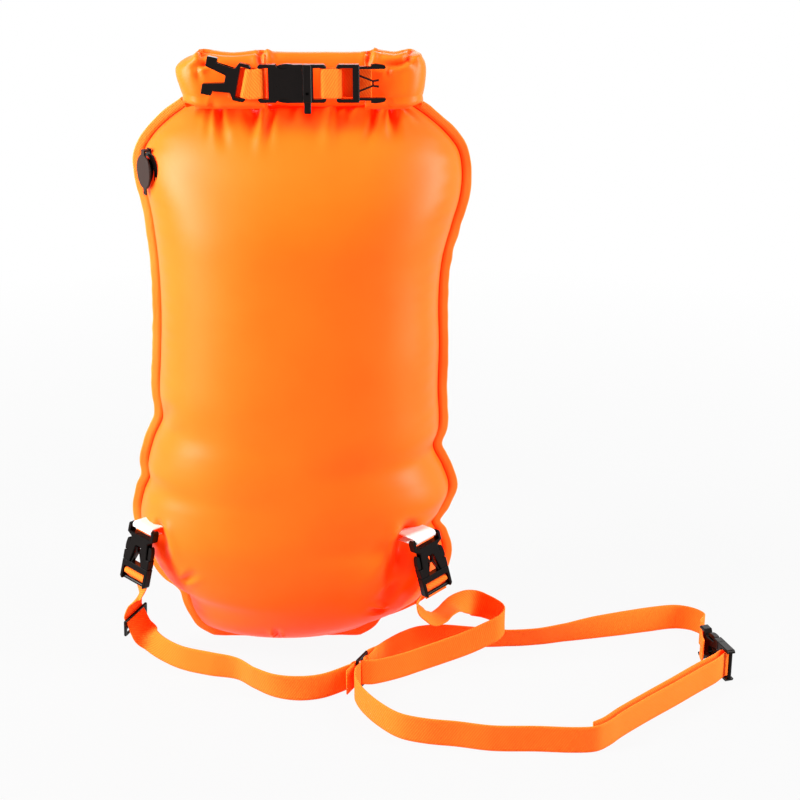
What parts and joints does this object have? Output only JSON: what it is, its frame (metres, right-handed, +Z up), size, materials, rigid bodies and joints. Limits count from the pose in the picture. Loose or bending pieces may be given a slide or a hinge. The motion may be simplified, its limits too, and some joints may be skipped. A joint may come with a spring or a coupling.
{
  "type": "open water swim buoy",
  "caption": "Inflatable roll-top tow buoy and dry bag with an air valve, side-release buckles, a leash and an adjustable waist belt.",
  "frame": {"origin": "on the floor under the middle of the inflated bag", "axes": "+Z up along the bag's length to the rolled mouth, the buckled front faces -Y, +X to the right as seen from the front"},
  "size_m": [0.5724, 0.299, 0.57],
  "materials": {
    "back_panel": "satin",
    "belt_arm_a": "satin",
    "belt_arm_b": "satin",
    "belt_far_band": "matt",
    "belt_near_band": "matt",
    "belt_plug": "satin",
    "belt_socket": "satin",
    "centre_triglide": "satin",
    "dry_pouch": "satin",
    "front_panel": "satin",
    "leash_left_run": "matt",
    "leash_right_run": "matt",
    "left_corner_loop": "matt",
    "left_roll_tab": "matt",
    "left_triglide": "satin",
    "left_waist_arm_a": "satin",
    "left_waist_arm_b": "satin",
    "left_waist_plug": "satin",
    "left_waist_socket": "satin",
    "mouth_stiffener": "satin",
    "open_plug": "satin",
    "open_plug_arm_a": "satin",
    "open_plug_arm_b": "satin",
    "open_socket": "satin",
    "perimeter_weld": "satin",
    "right_corner_loop": "matt",
    "right_roll_tab": "matt",
    "right_waist_arm_a": "satin",
    "right_waist_arm_b": "satin",
    "right_waist_plug": "satin",
    "right_waist_socket": "satin",
    "roll_plug_arm_a": "satin",
    "roll_plug_arm_b": "satin",
    "roll_plug_whistle": "satin",
    "roll_socket": "satin",
    "roll_top": "satin",
    "valve_base": "satin",
    "valve_cap": "satin",
    "valve_flap": "satin"
  },
  "bodies": {
    "root": {"back_panel": "back_panel", "belt_far_band": "belt_far_band", "belt_near_band": "belt_near_band", "belt_plug": "belt_plug", "belt_socket": "belt_socket", "centre_triglide": "centre_triglide", "dry_pouch": "dry_pouch", "front_panel": "front_panel", "leash_left_run": "leash_left_run", "leash_right_run": "leash_right_run", "left_corner_loop": "left_corner_loop", "left_roll_tab": "left_roll_tab", "left_triglide": "left_triglide", "mouth_stiffener": "mouth_stiffener", "perimeter_weld": "perimeter_weld", "right_corner_loop": "right_corner_loop", "right_roll_tab": "right_roll_tab", "roll_plug_whistle": "roll_plug_whistle", "roll_socket": "roll_socket", "roll_top": "roll_top", "valve_base": "valve_base"},
    "valve_cap": {"valve_cap": "valve_cap"},
    "valve_flap": {"valve_flap": "valve_flap"},
    "open_socket": {"open_socket": "open_socket"},
    "open_plug": {"open_plug": "open_plug"},
    "left_waist_buckle": {"left_waist_socket": "left_waist_socket", "left_waist_plug": "left_waist_plug"},
    "right_waist_buckle": {"right_waist_socket": "right_waist_socket", "right_waist_plug": "right_waist_plug"},
    "open_plug_arm_a": {"open_plug_arm_a": "open_plug_arm_a"},
    "open_plug_arm_b": {"open_plug_arm_b": "open_plug_arm_b"},
    "roll_plug_arm_a": {"roll_plug_arm_a": "roll_plug_arm_a"},
    "roll_plug_arm_b": {"roll_plug_arm_b": "roll_plug_arm_b"},
    "left_waist_arm_a": {"left_waist_arm_a": "left_waist_arm_a"},
    "left_waist_arm_b": {"left_waist_arm_b": "left_waist_arm_b"},
    "right_waist_arm_a": {"right_waist_arm_a": "right_waist_arm_a"},
    "right_waist_arm_b": {"right_waist_arm_b": "right_waist_arm_b"},
    "belt_arm_a": {"belt_arm_a": "belt_arm_a"},
    "belt_arm_b": {"belt_arm_b": "belt_arm_b"}
  },
  "joints": [
    {"name": "valve_cap_hinge", "type": "hinge", "parent": "root", "child": "valve_cap", "pos_m": [-0.12473, -0.0243, 0.48526], "axis": [-0.4926, 0.8702, 0], "range_deg": [0, 100]},
    {"name": "valve_flap_hinge", "type": "hinge", "parent": "root", "child": "valve_flap", "pos_m": [-0.11838, -0.02071, 0.47376], "axis": [0.4926, -0.8702, 0], "range_deg": [0, 25], "stiffness_Nm_per_rad": 0.002},
    {"name": "open_socket_swing", "type": "hinge", "parent": "root", "child": "open_socket", "pos_m": [-0.0338, -0.0511, 0.547], "axis": [0.2079, 0, 0.9781], "range_deg": [0, 75]},
    {"name": "open_plug_swing", "type": "hinge", "parent": "root", "child": "open_plug", "pos_m": [0.044, -0.0511, 0.547], "axis": [0, 0, -1], "range_deg": [0, 75]},
    {"name": "left_waist_swing", "type": "hinge", "parent": "root", "child": "left_waist_buckle", "pos_m": [-0.1403, -0.0515, 0.1396], "axis": [-0.7864, 0.5975, 0.1568], "range_deg": [0, 70], "deforming": ["leash_left_run"]},
    {"name": "right_waist_swing", "type": "hinge", "parent": "root", "child": "right_waist_buckle", "pos_m": [0.118, -0.066, 0.137], "axis": [-0.7664, -0.6134, -0.1904], "range_deg": [0, 70], "deforming": ["leash_right_run"]},
    {"name": "open_plug_arm_a_squeeze", "type": "hinge", "parent": "open_plug", "child": "open_plug_arm_a", "pos_m": [0.0588, -0.0511, 0.5602], "axis": [0, 1, 0], "range_deg": [0, 8], "stiffness_Nm_per_rad": 0.5},
    {"name": "open_plug_arm_b_squeeze", "type": "hinge", "parent": "open_plug", "child": "open_plug_arm_b", "pos_m": [0.0588, -0.0511, 0.5338], "axis": [0, -1, 0], "range_deg": [0, 8], "stiffness_Nm_per_rad": 0.5},
    {"name": "roll_plug_arm_a_squeeze", "type": "hinge", "parent": "root", "child": "roll_plug_arm_a", "pos_m": [0.0174, -0.0511, 0.5338], "axis": [0, 1, 0], "range_deg": [0, 8], "stiffness_Nm_per_rad": 0.5},
    {"name": "roll_plug_arm_b_squeeze", "type": "hinge", "parent": "root", "child": "roll_plug_arm_b", "pos_m": [0.0174, -0.0511, 0.5602], "axis": [0, -1, 0], "range_deg": [0, 8], "stiffness_Nm_per_rad": 0.5},
    {"name": "left_waist_arm_a_squeeze", "type": "hinge", "parent": "left_waist_buckle", "child": "left_waist_arm_a", "pos_m": [-0.15896, -0.0444, 0.10316], "axis": [0.5809, 0.8016, -0.1413], "range_deg": [0, 8], "stiffness_Nm_per_rad": 0.5},
    {"name": "left_waist_arm_b_squeeze", "type": "hinge", "parent": "left_waist_buckle", "child": "left_waist_arm_b", "pos_m": [-0.1382, -0.06018, 0.09902], "axis": [-0.5809, -0.8016, 0.1413], "range_deg": [0, 8], "stiffness_Nm_per_rad": 0.5},
    {"name": "right_waist_arm_a_squeeze", "type": "hinge", "parent": "right_waist_buckle", "child": "right_waist_arm_a", "pos_m": [0.11679, -0.07331, 0.09611], "axis": [-0.6013, 0.7895, -0.1233], "range_deg": [0, 8], "stiffness_Nm_per_rad": 0.5},
    {"name": "right_waist_arm_b_squeeze", "type": "hinge", "parent": "right_waist_buckle", "child": "right_waist_arm_b", "pos_m": [0.13702, -0.05711, 0.10114], "axis": [0.6013, -0.7895, 0.1233], "range_deg": [0, 8], "stiffness_Nm_per_rad": 0.5},
    {"name": "belt_arm_a_squeeze", "type": "hinge", "parent": "root", "child": "belt_arm_a", "pos_m": [0.39743, -0.07371, 0.0036], "axis": [0.957, 0.29, 0], "range_deg": [0, 8], "stiffness_Nm_per_rad": 0.5},
    {"name": "belt_arm_b_squeeze", "type": "hinge", "parent": "root", "child": "belt_arm_b", "pos_m": [0.39743, -0.07371, 0.03], "axis": [-0.957, -0.29, 0], "range_deg": [0, 8], "stiffness_Nm_per_rad": 0.5}
  ],
  "couplings": [
    {"joint": "open_plug_arm_b_squeeze", "follows": "open_plug_arm_a_squeeze", "ratio": 1},
    {"joint": "roll_plug_arm_b_squeeze", "follows": "roll_plug_arm_a_squeeze", "ratio": 1},
    {"joint": "left_waist_arm_b_squeeze", "follows": "left_waist_arm_a_squeeze", "ratio": 1},
    {"joint": "right_waist_arm_b_squeeze", "follows": "right_waist_arm_a_squeeze", "ratio": 1},
    {"joint": "belt_arm_b_squeeze", "follows": "belt_arm_a_squeeze", "ratio": 1}
  ]
}
